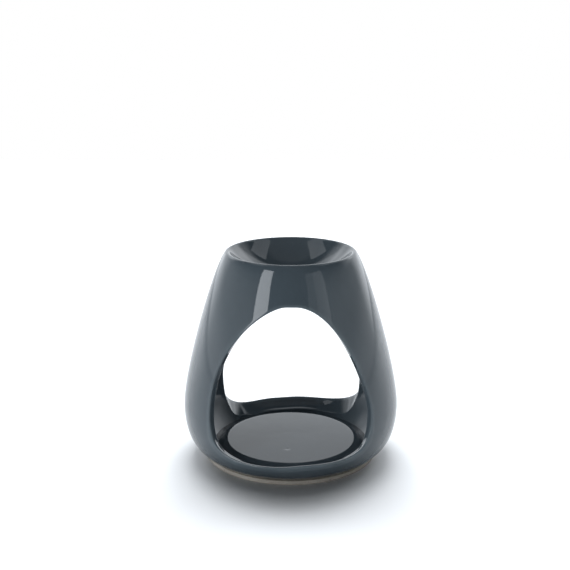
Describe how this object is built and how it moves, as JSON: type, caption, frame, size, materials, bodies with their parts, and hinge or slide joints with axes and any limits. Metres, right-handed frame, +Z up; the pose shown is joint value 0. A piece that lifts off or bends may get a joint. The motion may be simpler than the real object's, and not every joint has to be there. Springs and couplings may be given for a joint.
{
  "type": "oil burner",
  "caption": "Glazed ceramic oil burner: an egg-shaped body with an oil dish in its mouth, open front and back for a tealight that warms the dish from below.",
  "frame": {"origin": "on the table under the middle of the foot ring", "axes": "+Z up through the middle of the dish, -Y out of the front opening, +X to the right as seen from the front"},
  "size_m": [0.1016, 0.0955, 0.0989],
  "materials": {
    "glaze": "glossy slate blue-grey glaze",
    "bare_clay": "unglazed, matt, beige"
  },
  "bodies": {
    "root": {"body_shell": "glaze", "oil_dish": "glaze", "floor_slab": "glaze", "tealight_seat": "glaze", "foot_ring": "bare_clay"}
  },
  "joints": []
}
